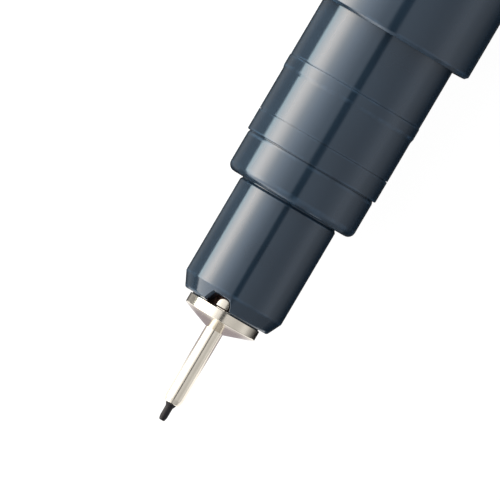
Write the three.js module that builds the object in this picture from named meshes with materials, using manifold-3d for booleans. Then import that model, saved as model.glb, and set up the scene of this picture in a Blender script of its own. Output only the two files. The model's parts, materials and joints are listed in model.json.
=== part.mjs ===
// A technical pen with a fibre reservoir, lying on a table with its cap pushed onto the tail.
//
// The pen lies along X: the nib points to -X, the cap's crown to +X, and +Z is up. The origin is on
// the table, under the middle of the pen. Units are millimetres. A station is a distance along the
// pen from the tip of the nib, and a depth is a distance into the cap from its mouth.

import * as THREE from "three";
import { mergeVertices } from "three/addons/utils/BufferGeometryUtils.js";
import Module from "manifold-3d";

const wasm = await Module();
wasm.setup();

// ---- driving dimensions ----

const LINE_WIDTH = 0.5; // the line that the nib draws
const BARREL_RADIUS = 5.7; // the barrel and the cap
const WALL = 1; // of the barrel
const PLAY = 0.04; // between a piece and the bore it is pressed into
const SEAT = 0.3; // between two faces that meet end to end inside the pen
const PARTING = 0.04; // the fine line between two pieces that meet on the outside
const CHAMFER = 0.2; // on the rims of the barrel and the cap

const BIG_SIDES = 32; // facets round a large turned piece
const SMALL_SIDES = 20; // facets round the nib, the needle and the wick

// Along the pen
const NIB_PIN_LENGTH = 0.95;
const NEEDLE_FRONT = 1.2;
const NEEDLE_REAR = 12.2;
const DISC_FRONT = 6.53;
const NOSE_FRONT = 7.95;
const COLLAR_FRONT = 15.79;
const RING_FRONT = 18.49;
const GRIP_FRONT = 20.01;
const BARREL_FRONT = 28;
const BARREL_REAR = 116.5;
const TAIL_REAR = 128;

// Across the pen
const NIB_RADIUS = LINE_WIDTH / 2;
const NIB_STEM_RADIUS = 0.36;
const NEEDLE_RADIUS = 0.61;
const NEEDLE_BORE = 0.38;
const DISC_RADIUS = 2.48;
const SHANK_RADIUS = 1.6;
const NOSE_RADIUS = 3.44;
const COLLAR_RADIUS = 4.5;
const JOINT_RADIUS = 3.6; // of the nose's spigot, which the ring and the grip slip onto
const GRIP_RADIUS = 4.63;
const WICK_RADIUS = 0.85;
const HOLDER_BORE = 2.6;
const RESERVOIR_RADIUS = 3.5;
const FILM = 0.12;

// The cap
const CAP_LENGTH = 40;
const LIP_DEPTH = 12.6; // where the inner cap begins
const LINER_DEPTH = 30.1; // where the hollow of the inner cap ends
const SHELL_DEPTH = 36.8; // where the shell ends and the crown begins

// The clip
const CLIP_WIDTH = 3.2;
const CLIP_SHEET = 0.6;
const CLIP_OUTSIDE = 7.4; // from the axis of the pen to the clip's outer face
const CLIP_REACH = 9; // depth of the clip's free end

// ---- sizes that follow ----

const BORE_RADIUS = BARREL_RADIUS - WALL;
const SPIGOT_RADIUS = BORE_RADIUS - PLAY; // what is pressed into either end of the barrel
const RESERVOIR_SPACE = RESERVOIR_RADIUS + FILM + 0.1;
const CAP_BORE = SPIGOT_RADIUS + 0.14;
const CAP_MOUTH = BARREL_REAR + SEAT;
const PEN_LENGTH = CAP_MOUTH + CAP_LENGTH;
const SECTION_REAR = BARREL_FRONT + 10;
const TAIL_FRONT = BARREL_REAR - 12.5;
const RESERVOIR_FRONT = BARREL_FRONT + 3.4;
const RESERVOIR_REAR = TAIL_FRONT + 6.6;

// ---- materials ----

function finish(color, roughness, metalness) {
  return new THREE.MeshStandardMaterial({ color, roughness, metalness });
}

const bluePlastic = finish(0x39434f, 0.28, 0);
const blackPlastic = finish(0x17191c, 0.4, 0);
const whitePlastic = finish(0xd8d8d2, 0.45, 0);
const softRubber = finish(0x2b2d30, 0.8, 0);
const nickel = finish(0xc9c7c0, 0.2, 1);
const springSteel = finish(0xb9bcc0, 0.25, 1);
const nibPlastic = finish(0x1c1a1f, 0.55, 0);
const inkedFibre = finish(0x1d1f26, 0.95, 0);
const clearFilm = finish(0xcfd6da, 0.15, 0);
const sizeColour = finish(0x8a5a33, 0.35, 0);

// ---- shaping ----

// A solid turned about X. The outline runs from the front along the outside and back along the
// bore, as [station, radius] points. It closes on itself, or starts and ends on the axis.
function turned(outline, sides = BIG_SIDES) {
  const points = outline.map(([station, radius]) => new THREE.Vector2(radius, station));
  if (outline[0][1] > 0) {
    points.push(points[0].clone());
  }
  return new THREE.LatheGeometry(points, sides).rotateZ(-Math.PI / 2);
}

// The two corners of a chamfer that eases an outer edge between the end face and the side.
function frontEdge(station, radius, size = CHAMFER) {
  return [[station, radius - size], [station + size, radius]];
}

function rearEdge(station, radius, size = CHAMFER) {
  return [[station - size, radius], [station, radius - size]];
}

// A flat outline in X and Y, made thick along Z from `low` to `high`.
function plate(outline, low, high) {
  const shape = new THREE.Shape(outline.map(([x, y]) => new THREE.Vector2(x, y)));
  const options = { depth: high - low, bevelEnabled: false };
  return new THREE.ExtrudeGeometry(shape, options).translate(0, 0, low);
}

function solid(geometry) {
  const bare = geometry.clone();
  bare.deleteAttribute("normal");
  bare.deleteAttribute("uv");
  const merged = mergeVertices(bare, 1e-5);
  return new wasm.Manifold(
    new wasm.Mesh({
      numProp: 3,
      vertProperties: new Float32Array(merged.attributes.position.array),
      triVerts: new Uint32Array(merged.index.array),
    }),
  );
}

function geometryOf(manifold) {
  const mesh = manifold.getMesh();
  const geometry = new THREE.BufferGeometry();
  geometry.setAttribute("position", new THREE.BufferAttribute(mesh.vertProperties, 3));
  geometry.setIndex(new THREE.BufferAttribute(mesh.triVerts, 1));
  geometry.computeVertexNormals();
  return geometry;
}

function place(parent, name, geometry, material) {
  const mesh = new THREE.Mesh(geometry, material);
  mesh.name = name;
  parent.add(mesh);
}

// ---- the writing point ----

function nibPoint() {
  const rear = NEEDLE_REAR + 3.3;
  const roundEnd = [[0, 0], [0, NIB_RADIUS * 0.5], [0.06, NIB_RADIUS * 0.8], [0.27, NIB_RADIUS]];
  return turned([
    ...roundEnd,
    [NIB_PIN_LENGTH, NIB_RADIUS],
    [NEEDLE_FRONT, NIB_STEM_RADIUS],
    [rear, NIB_STEM_RADIUS],
    [rear, 0],
  ], SMALL_SIDES);
}

// The steel tube, with its front end rolled in round the nib.
function needleSleeve() {
  const rollLength = 0.36;
  const rollSteps = 4;
  const lip = 0.44;
  const roll = [];
  for (let step = 0; step <= rollSteps; step += 1) {
    const turn = (step / rollSteps) * (Math.PI / 2);
    const station = NEEDLE_FRONT + rollLength * (1 - Math.cos(turn));
    roll.push([station, lip + (NEEDLE_RADIUS - lip) * Math.sin(turn)]);
  }
  return turned([
    ...roll,
    [NEEDLE_REAR, NEEDLE_RADIUS],
    [NEEDLE_REAR, NEEDLE_BORE],
    [NEEDLE_FRONT, NEEDLE_BORE],
  ], SMALL_SIDES);
}

// The vent notch in the rim of the nose is turned this far from straight up, and so is the lug of
// the metal disc that shows in it.
const NOTCH_TURN = THREE.MathUtils.degToRad(12.2);
const NOTCH_WIDTH = 1.96;
const NOTCH_TOP_WIDTH = 1.3;
const NOTCH_HEIGHT = 0.6;
const NOTCH_FLOOR = 1.3; // from the axis, inside the bore of the nose
const LUG_WIDTH = 0.66;
const LUG_HEIGHT = 0.5;
const LUG_SHIFT = -0.13; // to the side of the notch's middle
const LUG_GAP = 0.1; // behind the disc, bridged by a low stem

// The turned metal disc that closes the nose: a shallow cone under it, and an undercut shank behind
// it with a half-round lug that stands in the notch.
function tipDisc() {
  const rear = NOSE_FRONT - PLAY;
  const coneRear = DISC_FRONT + 0.47;
  const bore = NEEDLE_RADIUS + PLAY / 2;
  const undercut = 0.95;
  const body = turned([
    [DISC_FRONT, bore],
    [DISC_FRONT, bore + 0.04],
    [coneRear, DISC_RADIUS - 0.38],
    [coneRear + 0.24, DISC_RADIUS],
    [rear, DISC_RADIUS],
    [rear, undercut],
    [rear + 1, undercut],
    [rear + 1, SHANK_RADIUS],
    [rear + 3, SHANK_RADIUS],
    [rear + 3, bore],
  ]);
  const lugSteps = 8;
  const lugFront = rear + LUG_GAP;
  const lugOutline = [];
  for (let step = 0; step <= lugSteps; step += 1) {
    const turn = Math.PI * (step / lugSteps - 1 / 2);
    const station = lugFront + (LUG_HEIGHT - LUG_GAP) * Math.cos(turn);
    lugOutline.push([station, LUG_SHIFT + (LUG_WIDTH / 2) * Math.sin(turn)]);
  }
  const lug = plate(lugOutline, NOTCH_FLOOR, DISC_RADIUS - 0.12);
  const stemHeight = 0.6;
  const stem = new THREE.BoxGeometry(3 * LUG_GAP, LUG_WIDTH / 2, stemHeight);
  stem.translate(rear + LUG_GAP / 2, LUG_SHIFT, NOTCH_FLOOR + stemHeight / 2);
  lug.rotateX(-NOTCH_TURN);
  stem.rotateX(-NOTCH_TURN);
  return geometryOf(solid(body).add(solid(stem)).add(solid(lug)));
}

// The plastic bush behind the disc. It grips the tube and leads the wick to the nib.
function nibHolder() {
  const front = NEEDLE_REAR - 0.8;
  const step = NEEDLE_REAR + 0.2;
  const rear = front + 8;
  const radius = HOLDER_BORE - PLAY;
  return turned([
    ...frontEdge(front, radius, 0.3),
    [rear, radius],
    [rear, WICK_RADIUS + PLAY],
    [step, WICK_RADIUS + PLAY],
    [step, NEEDLE_RADIUS + PLAY],
    [front, NEEDLE_RADIUS + PLAY],
  ]);
}

// The fibre rod between the nib, whose stem is pushed into its front, and the reservoir.
function relayWick() {
  const front = NEEDLE_REAR + 0.4;
  const holeEnd = NEEDLE_REAR + 3.6;
  const holeRadius = NIB_STEM_RADIUS + PLAY;
  const rear = RESERVOIR_FRONT + 4;
  return turned([
    [holeEnd, 0],
    [holeEnd, holeRadius],
    [front, holeRadius],
    ...frontEdge(front, WICK_RADIUS, 0.15),
    [rear - 1, WICK_RADIUS],
    [rear, WICK_RADIUS / 2],
    [rear, 0],
  ], SMALL_SIDES);
}

// ---- the body ----

const GUIDE_FRONT = BARREL_FRONT + 1;
const GUIDE_LENGTH = 1.8;

// The disc that centres the wick and stops the reservoir from moving forward.
function wickGuide() {
  const radius = RESERVOIR_SPACE - PLAY;
  const hubRadius = 2;
  const hubFront = GUIDE_FRONT - 2;
  return turned([
    ...frontEdge(hubFront, hubRadius, 0.2),
    [GUIDE_FRONT, hubRadius],
    [GUIDE_FRONT, radius],
    [GUIDE_FRONT + GUIDE_LENGTH, radius],
    [GUIDE_FRONT + GUIDE_LENGTH, WICK_RADIUS + PLAY],
    [hubFront, WICK_RADIUS + PLAY],
  ]);
}

const SPIGOT_REAR = GUIDE_FRONT - 2; // the rear of the nose's spigot

// The nose and its collar, with a vent notch in the rim and a spigot behind that holds the bush.
function nosePiece() {
  const chamferLength = 0.98;
  const noseBore = SHANK_RADIUS + PLAY + 0.01;
  const boreStep = NEEDLE_REAR - 1;
  const collarRear = RING_FRONT - PARTING;
  const body = turned([
    [NOSE_FRONT, noseBore],
    [NOSE_FRONT, NOSE_RADIUS - 0.5],
    [NOSE_FRONT + chamferLength, NOSE_RADIUS],
    [COLLAR_FRONT, NOSE_RADIUS],
    ...frontEdge(COLLAR_FRONT, COLLAR_RADIUS, 0.25),
    ...rearEdge(collarRear, COLLAR_RADIUS, 0.1),
    [collarRear, JOINT_RADIUS],
    [SPIGOT_REAR, JOINT_RADIUS],
    [SPIGOT_REAR, HOLDER_BORE],
    [boreStep, HOLDER_BORE],
    [boreStep, noseBore],
  ]);
  const notch = plate([
    [NOSE_FRONT - 1, -NOTCH_WIDTH / 2],
    [NOSE_FRONT, -NOTCH_WIDTH / 2],
    [NOSE_FRONT + NOTCH_HEIGHT, -NOTCH_TOP_WIDTH / 2],
    [NOSE_FRONT + NOTCH_HEIGHT, NOTCH_TOP_WIDTH / 2],
    [NOSE_FRONT, NOTCH_WIDTH / 2],
    [NOSE_FRONT - 1, NOTCH_WIDTH / 2],
  ], NOTCH_FLOOR, NOSE_RADIUS + 1);
  notch.rotateX(-NOTCH_TURN);
  return geometryOf(solid(body).subtract(solid(notch)));
}

// The ring between the collar and the grip, set off by a fine line on each side.
function sectionRing() {
  const rear = GRIP_FRONT - PARTING;
  const bore = JOINT_RADIUS + PLAY;
  return turned([
    [RING_FRONT, bore],
    ...frontEdge(RING_FRONT, GRIP_RADIUS, PARTING),
    ...rearEdge(rear, GRIP_RADIUS, PARTING),
    [rear, bore],
  ]);
}

// The grip, with a low band round it. Its rear is the spigot pressed into the barrel.
function gripSleeve() {
  const bandFront = 22.98;
  const bandRear = 23.9;
  const bandRise = 0.06;
  const seatStep = SPIGOT_REAR + SEAT;
  const guideStep = GUIDE_FRONT - 0.1;
  return turned([
    [GRIP_FRONT, JOINT_RADIUS + PLAY],
    ...frontEdge(GRIP_FRONT, GRIP_RADIUS, PARTING),
    [bandFront, GRIP_RADIUS],
    [bandFront + bandRise, GRIP_RADIUS + bandRise],
    [bandRear, GRIP_RADIUS + bandRise],
    [bandRear + bandRise, SPIGOT_RADIUS],
    ...rearEdge(SECTION_REAR, SPIGOT_RADIUS, 0.3),
    [SECTION_REAR, RESERVOIR_SPACE],
    [guideStep, RESERVOIR_SPACE],
    [guideStep, HOLDER_BORE],
    [seatStep, HOLDER_BORE],
    [seatStep, JOINT_RADIUS + PLAY],
  ]);
}

// The barrel is a plain tube, with ribs inside that hold the reservoir clear of the wall.
function barrel() {
  const ribs = 6;
  const ribWidth = 0.8;
  const ribFront = SECTION_REAR + SEAT;
  const ribRear = TAIL_FRONT - SEAT;
  let body = solid(turned([
    ...frontEdge(BARREL_FRONT, BARREL_RADIUS),
    ...rearEdge(BARREL_REAR, BARREL_RADIUS),
    [BARREL_REAR, BORE_RADIUS],
    [BARREL_FRONT, BORE_RADIUS],
  ]));
  for (let rib = 0; rib < ribs; rib += 1) {
    const height = BORE_RADIUS + WALL / 2 - RESERVOIR_SPACE;
    const bar = new THREE.BoxGeometry(ribRear - ribFront, ribWidth, height);
    bar.translate((ribFront + ribRear) / 2, 0, RESERVOIR_SPACE + height / 2);
    bar.rotateX(((rib + 0.5) / ribs) * 2 * Math.PI);
    body = body.add(solid(bar));
  }
  return geometryOf(body);
}

function reservoirFibre() {
  const front = RESERVOIR_FRONT + 0.2;
  const rear = RESERVOIR_REAR - 0.2;
  const wickHole = RESERVOIR_FRONT + 4.2;
  const holeRadius = WICK_RADIUS + PLAY;
  return turned([
    [wickHole, 0],
    [wickHole, holeRadius],
    [front, holeRadius],
    [front, RESERVOIR_RADIUS],
    [rear, RESERVOIR_RADIUS],
    [rear, 0],
  ]);
}

function reservoirFilm() {
  const inside = RESERVOIR_RADIUS + 0.03;
  const outside = RESERVOIR_RADIUS + FILM;
  return turned([
    [RESERVOIR_FRONT, outside],
    [RESERVOIR_REAR, outside],
    [RESERVOIR_REAR, inside],
    [RESERVOIR_FRONT, inside],
  ]);
}

const TAIL_DISC_RADIUS = 3.3;
const DISC_RECESS = 1;

// The plug in the rear of the barrel. Its front is a cup round the end of the reservoir, and its
// rear is the spigot that the cap is pushed onto, with a shallow snap groove.
function tailPlug() {
  const cupEnd = RESERVOIR_REAR + 0.4;
  const snapGroove = BARREL_REAR + 3;
  const snapWidth = 1.2;
  const snapDepth = 0.1;
  return turned([
    [cupEnd, 0],
    [cupEnd, RESERVOIR_SPACE],
    [TAIL_FRONT, RESERVOIR_SPACE],
    ...frontEdge(TAIL_FRONT, SPIGOT_RADIUS, 0.3),
    [snapGroove, SPIGOT_RADIUS],
    [snapGroove + snapDepth, SPIGOT_RADIUS - snapDepth],
    [snapGroove + snapWidth, SPIGOT_RADIUS - snapDepth],
    [snapGroove + snapWidth + snapDepth, SPIGOT_RADIUS],
    ...rearEdge(TAIL_REAR, SPIGOT_RADIUS, 0.5),
    [TAIL_REAR, TAIL_DISC_RADIUS + PLAY],
    [TAIL_REAR - DISC_RECESS, TAIL_DISC_RADIUS + PLAY],
    [TAIL_REAR - DISC_RECESS, 0],
  ]);
}

// A coloured disc that names the line width, sunk a little below the rim round it.
function sizeDisc(rimStation, radius) {
  const floor = rimStation - DISC_RECESS + PLAY;
  const top = rimStation - 0.15;
  return turned([
    [floor, 0],
    [floor, radius],
    ...rearEdge(top, radius, 0.1),
    [top, 0],
  ]);
}

// ---- the cap, with its mouth at X = 0 ----

// The outer tube, open at both ends: the tail or the grip goes in at the mouth.
function capShell() {
  return turned([
    ...frontEdge(0, BARREL_RADIUS),
    ...rearEdge(SHELL_DEPTH, BARREL_RADIUS, 0.12),
    [SHELL_DEPTH, CAP_BORE],
    [0.25, CAP_BORE],
    [0, CAP_BORE + 0.25],
  ]);
}

const LINER_RADIUS = CAP_BORE - PLAY;
const LINER_BORE = NOSE_RADIUS + 0.08;
const SEAL_LENGTH = 1.2;
const SEAL_RADIUS = LINER_BORE + 0.5;

// The inner cap. Its hollow takes the nose, and its mouth is recessed for the seal ring.
function capLiner() {
  const sealEnd = LIP_DEPTH + SEAL_LENGTH + 0.1;
  const rear = LINER_DEPTH + 1.1;
  return turned([
    [LINER_DEPTH, 0],
    [LINER_DEPTH, LINER_BORE],
    [sealEnd, LINER_BORE],
    [sealEnd, SEAL_RADIUS],
    [LIP_DEPTH, SEAL_RADIUS],
    ...frontEdge(LIP_DEPTH, LINER_RADIUS, 0.3),
    ...rearEdge(rear, LINER_RADIUS, 0.4),
    [rear, 0],
  ]);
}

function capSealRing() {
  const outside = SEAL_RADIUS - PLAY;
  const front = LIP_DEPTH + 0.1;
  return turned([
    [front, outside],
    [front + SEAL_LENGTH - 0.1, outside],
    [front + SEAL_LENGTH - 0.1, LINER_BORE],
    [front + 0.3, LINER_BORE],
    [front, LINER_BORE + 0.2],
  ]);
}

const CROWN_FRONT = SHELL_DEPTH + 0.2;
const CROWN_DISC_RADIUS = 3.6;
const SLOT_FRONT = CROWN_FRONT + 0.5;
const SLOT_LENGTH = CLIP_SHEET + 0.6;
const SLOT_FLOOR = 4.1;
const SLOT_MARGIN = 0.3; // at either edge of the clip, and under its root

// The clip's outer edge touches the table beside the pen, which keeps the pen from rolling.
const CLIP_TURN = Math.acos(BARREL_RADIUS / Math.hypot(CLIP_OUTSIDE, CLIP_WIDTH / 2))
  + Math.atan2(CLIP_WIDTH / 2, CLIP_OUTSIDE);

// The end plug of the cap, pressed into the shell. The clip's root sits in a slot in its flange.
function capCrown() {
  const plugFront = LINER_DEPTH + 1.5;
  const cupRadius = 3.6;
  const rearRound = 0.5;
  const body = turned([
    [CROWN_FRONT - 1.2, 0],
    [CROWN_FRONT - 1.2, cupRadius],
    [plugFront, cupRadius],
    ...frontEdge(plugFront, LINER_RADIUS, 0.3),
    [CROWN_FRONT, LINER_RADIUS],
    ...frontEdge(CROWN_FRONT, BARREL_RADIUS, 0.12),
    [CAP_LENGTH - rearRound, BARREL_RADIUS],
    [CAP_LENGTH - rearRound * 0.3, BARREL_RADIUS - rearRound * 0.3],
    [CAP_LENGTH, BARREL_RADIUS - rearRound],
    [CAP_LENGTH, CROWN_DISC_RADIUS + PLAY],
    [CAP_LENGTH - DISC_RECESS, CROWN_DISC_RADIUS + PLAY],
    [CAP_LENGTH - DISC_RECESS, 0],
  ]);
  const slotDepth = BARREL_RADIUS + 1 - SLOT_FLOOR;
  const slot = new THREE.BoxGeometry(SLOT_LENGTH, CLIP_WIDTH + 2 * SLOT_MARGIN, slotDepth);
  slot.translate(SLOT_FRONT + SLOT_LENGTH / 2, 0, SLOT_FLOOR + slotDepth / 2);
  slot.rotateX(clipAngle());
  return geometryOf(solid(body).subtract(solid(slot)));
}

// The turn about X that takes straight up to the side where the clip is.
function clipAngle() {
  return Math.PI - CLIP_TURN;
}

// The sheet-steel clip: a root in the crown's slot, a round bend, and a long strip whose end dips
// to the shell and flares out again. The side outline is [depth, distance from the axis].
function capClip() {
  const rootMiddle = SLOT_FRONT + SLOT_LENGTH / 2;
  const bendRadius = 1;
  const bendSteps = 5;
  const stripInside = CLIP_OUTSIDE - CLIP_SHEET;
  const dip = CLIP_REACH + 2.6;
  const dipInside = BARREL_RADIUS + 0.15;
  const outer = [];
  const inner = [];
  outer.push([rootMiddle + CLIP_SHEET / 2, SLOT_FLOOR + SLOT_MARGIN]);
  inner.push([rootMiddle - CLIP_SHEET / 2, SLOT_FLOOR + SLOT_MARGIN]);
  const center = [rootMiddle + CLIP_SHEET / 2 - bendRadius, CLIP_OUTSIDE - bendRadius];
  const innerBend = bendRadius - CLIP_SHEET;
  for (let step = 0; step <= bendSteps; step += 1) {
    const turn = (step / bendSteps) * (Math.PI / 2);
    outer.push([center[0] + bendRadius * Math.cos(turn), center[1] + bendRadius * Math.sin(turn)]);
    inner.push([center[0] + innerBend * Math.cos(turn), center[1] + innerBend * Math.sin(turn)]);
  }
  const bump = [[dip + 3.4, 0], [dip + 1.2, 0.75], [dip, 1], [dip - 1.2, 0.75], [CLIP_REACH, 0.2]];
  for (const [depth, share] of bump) {
    const drop = share * (stripInside - dipInside);
    outer.push([depth, CLIP_OUTSIDE - drop]);
    inner.push([depth, stripInside - drop]);
  }
  const outline = outer.concat(inner.reverse());
  const side = plate(outline.reverse(), -CLIP_WIDTH / 2, CLIP_WIDTH / 2);
  return side.rotateX(Math.PI / 2).rotateX(clipAngle());
}

// ---- the whole pen ----

const pen = new THREE.Group();
pen.position.set(-PEN_LENGTH / 2, 0, BARREL_RADIUS);

place(pen, "nib_point", nibPoint(), nibPlastic);
place(pen, "needle_sleeve", needleSleeve(), nickel);
place(pen, "tip_disc", tipDisc(), nickel);
place(pen, "nib_holder", nibHolder(), blackPlastic);
place(pen, "relay_wick", relayWick(), inkedFibre);
place(pen, "wick_guide", wickGuide(), whitePlastic);
place(pen, "nose_piece", nosePiece(), bluePlastic);
place(pen, "section_ring", sectionRing(), bluePlastic);
place(pen, "grip_sleeve", gripSleeve(), bluePlastic);
place(pen, "barrel", barrel(), bluePlastic);
place(pen, "reservoir_fibre", reservoirFibre(), inkedFibre);
place(pen, "reservoir_film", reservoirFilm(), clearFilm);
place(pen, "tail_plug", tailPlug(), bluePlastic);
place(pen, "tail_size_disc", sizeDisc(TAIL_REAR, TAIL_DISC_RADIUS), sizeColour);

const cap = new THREE.Group();
cap.position.set(CAP_MOUTH, 0, 0);
pen.add(cap);

place(cap, "cap_shell", capShell(), bluePlastic);
place(cap, "cap_liner", capLiner(), whitePlastic);
place(cap, "cap_seal_ring", capSealRing(), softRubber);
place(cap, "cap_crown", capCrown(), bluePlastic);
place(cap, "crown_size_disc", sizeDisc(CAP_LENGTH, CROWN_DISC_RADIUS), sizeColour);
place(cap, "cap_clip", capClip(), springSteel);

export default pen;
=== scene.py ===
"""The looks of a technical pen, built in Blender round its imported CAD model.

The pen lies along X with its nib towards -X. Outlines are written in millimetres: a station is a
distance along the pen from the tip of the nib. Everything else is in metres, in the frame of the
CAD model.
"""
import json
import math

import bpy
from mathutils import Matrix, Vector


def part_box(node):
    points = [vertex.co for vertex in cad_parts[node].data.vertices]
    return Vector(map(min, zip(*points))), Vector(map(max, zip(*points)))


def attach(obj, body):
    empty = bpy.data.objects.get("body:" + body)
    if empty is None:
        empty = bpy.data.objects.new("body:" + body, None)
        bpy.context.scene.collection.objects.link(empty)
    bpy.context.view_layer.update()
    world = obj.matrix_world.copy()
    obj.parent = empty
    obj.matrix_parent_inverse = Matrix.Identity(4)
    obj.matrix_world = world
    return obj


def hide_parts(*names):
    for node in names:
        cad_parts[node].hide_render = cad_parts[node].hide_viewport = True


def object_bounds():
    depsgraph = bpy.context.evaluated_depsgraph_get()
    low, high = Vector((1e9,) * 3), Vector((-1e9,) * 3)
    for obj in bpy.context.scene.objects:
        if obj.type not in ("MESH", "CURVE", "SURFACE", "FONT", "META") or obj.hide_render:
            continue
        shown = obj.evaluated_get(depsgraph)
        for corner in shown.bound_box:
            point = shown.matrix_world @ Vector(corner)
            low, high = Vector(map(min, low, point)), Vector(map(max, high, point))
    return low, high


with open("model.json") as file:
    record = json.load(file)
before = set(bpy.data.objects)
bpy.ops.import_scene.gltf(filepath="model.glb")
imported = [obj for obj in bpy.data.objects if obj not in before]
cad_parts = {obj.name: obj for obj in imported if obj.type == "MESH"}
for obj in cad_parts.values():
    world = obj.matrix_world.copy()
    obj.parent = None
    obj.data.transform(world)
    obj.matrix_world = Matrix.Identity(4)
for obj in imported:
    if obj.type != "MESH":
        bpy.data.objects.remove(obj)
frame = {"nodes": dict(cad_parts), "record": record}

CAD_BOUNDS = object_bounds()

MM = 0.001
SIDES = 256  # facets round a large turned piece
FINE_SIDES = 128  # facets round the nib and the needle
FILLET_STEPS = 6
FILLET_SHARE = 0.49  # the most that a fillet takes of the straight sides next to it
WEAR_WIDTH = 0.12  # how far from a rounded corner the wear on it has faded
SHARP_ANGLE = math.radians(32)
NEARLY_STRAIGHT = math.radians(89)  # half the angle between a corner's two sides
PLAY = 0.04  # between a piece and the bore it is pressed into


# ---- places and sizes, from the frame ----

def span(node):
    """Front station, rear station and radius of a turned CAD node, in millimetres."""
    low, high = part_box(node)
    return (low[0] - NIB_TIP) / MM, (high[0] - NIB_TIP) / MM, (high[2] - low[2]) / 2 / MM


NIB_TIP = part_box("nib_point")[0][0]
BARREL_LOW, BARREL_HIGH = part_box("barrel")
AXIS_HEIGHT = (BARREL_LOW[2] + BARREL_HIGH[2]) / 2

SLEEVE_FRONT, SLEEVE_REAR, SLEEVE_RADIUS = span("needle_sleeve")
DISC_FRONT, SHANK_REAR, DISC_RADIUS = span("tip_disc")
NOSE_FRONT, NOSE_REAR, COLLAR_RADIUS = span("nose_piece")
RING_FRONT, RING_REAR, GRIP_RADIUS = span("section_ring")
GRIP_FRONT, GRIP_REAR, BAND_RADIUS = span("grip_sleeve")
BARREL_FRONT, BARREL_REAR, BARREL_RADIUS = span("barrel")
TAIL_FRONT, TAIL_REAR, TAIL_RADIUS = span("tail_plug")
CAP_MOUTH, SHELL_REAR, CAP_RADIUS = span("cap_shell")
LINER_FRONT, LINER_REAR, LINER_RADIUS = span("cap_liner")
CROWN_FRONT, CROWN_REAR, CROWN_RADIUS = span("cap_crown")
SEAL_FRONT, SEAL_REAR, SEAL_RADIUS = span("cap_seal_ring")
CLIP_FRONT, CLIP_REAR, _ = span("cap_clip")
FILM_RADIUS = span("reservoir_film")[2]
HOLDER_FRONT, _, HOLDER_RADIUS = span("nib_holder")

NIB_STEM_RADIUS = 0.36
NEEDLE_BORE = 0.38
SHANK_RADIUS = 1.6
NOSE_RADIUS = 3.44
NOSE_TAPER = 0.48
NOSE_CHAMFER = 0.98
JOINT_RADIUS = 3.6  # of the nose's spigot, which the ring and the grip slip onto
PARTING = GRIP_FRONT - RING_REAR  # the fine line between two pieces on the outside
COLLAR_FRONT = NOSE_FRONT + 7.79
COLLAR_REAR = RING_FRONT - PARTING
BORE_RADIUS = TAIL_RADIUS + PLAY
RESERVOIR_SPACE = FILM_RADIUS + 0.1
CAP_BORE = LINER_RADIUS + PLAY

NOTCH_TURN = math.radians(12.2)  # from straight up, towards +Y
NOTCH_HEIGHT = 0.67
LUG_SHIFT = -0.18  # from the middle of the notch, towards +Y
LUG_GAP = 0.1  # between the disc and its lug, bridged by a low stem
LUG_FOOT = 1.3  # from the pen's axis
LIP = 0.08  # how far the rim of the nose reaches forward behind the disc

CLIP_WIDTH = 3.2
CLIP_SHEET = 0.6
CLIP_OUTSIDE = 7.4  # from the pen's axis to the clip's outer face
CLIP_REST = math.acos(BARREL_RADIUS / math.hypot(CLIP_OUTSIDE, CLIP_WIDTH / 2))
CLIP_TURN = CLIP_REST + math.atan2(CLIP_WIDTH / 2, CLIP_OUTSIDE) - math.pi  # from up, to +Y
CLIP_ROOT = CLIP_REAR - CLIP_SHEET / 2


# ---- meshes ----

def new_object(name, vertices, faces):
    mesh = bpy.data.meshes.new(name)
    mesh.from_pydata(vertices, [], faces)
    made = bpy.data.objects.new(name, mesh)
    bpy.context.scene.collection.objects.link(made)
    return made


def new_piece(name, vertices, faces):
    """A closed mesh, smooth except across its sharp edges."""
    piece = new_object(name, vertices, faces)
    piece.data.validate()
    smooth(piece)
    return piece


def smooth(piece):
    piece.data.shade_smooth()
    piece.data.set_sharp_from_angle(angle=SHARP_ANGLE)


def fillet(before, corner, after, radius):
    """The arc that rounds a corner, as (point, wear) pairs, with unworn points either side of it
    where there is room; or the corner itself where the outline runs nearly straight on. Only a
    corner that stands out wears."""
    back = before - corner
    ahead = after - corner
    half_angle = back.angle(ahead) / 2
    if half_angle > NEARLY_STRAIGHT:
        return [(corner, 0.0)]
    wear = 1.0 if back.cross(ahead) > 0 else 0.0
    room = FILLET_SHARE * min(back.length, ahead.length)
    reach = min(radius / math.tan(half_angle), room)
    radius = reach * math.tan(half_angle)
    middle = (back.normalized() + ahead.normalized()).normalized()
    centre = corner + middle * (radius / math.sin(half_angle))
    start = corner + back.normalized() * reach - centre
    sweep = start.angle_signed(corner + ahead.normalized() * reach - centre)
    arc = []
    for step in range(FILLET_STEPS + 1):
        turned = start.copy()
        turned.rotate(Matrix.Rotation(-sweep * step / FILLET_STEPS, 2))
        arc.append((centre + turned, wear))
    fade = reach + WEAR_WIDTH
    if fade < FILLET_SHARE * back.length:
        arc.insert(0, (corner + back.normalized() * fade, 0.0))
    if fade < FILLET_SHARE * ahead.length:
        arc.append((corner + ahead.normalized() * fade, 0.0))
    return arc


def rounded(corners):
    """The (point, wear) pairs of an outline whose corners may each hold a third number, the
    radius that rounds it."""
    closed = corners[0][1] > 0
    points = [Vector(corner[:2]) for corner in corners]
    outline = []
    for index, corner in enumerate(corners):
        open_end = not closed and index in (0, len(corners) - 1)
        radius = corner[2] if len(corner) > 2 else 0
        if open_end or not radius:
            outline.append((points[index], 0.0))
        else:
            after = points[(index + 1) % len(points)]
            outline += fillet(points[index - 1], points[index], after, radius)
    return outline


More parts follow.
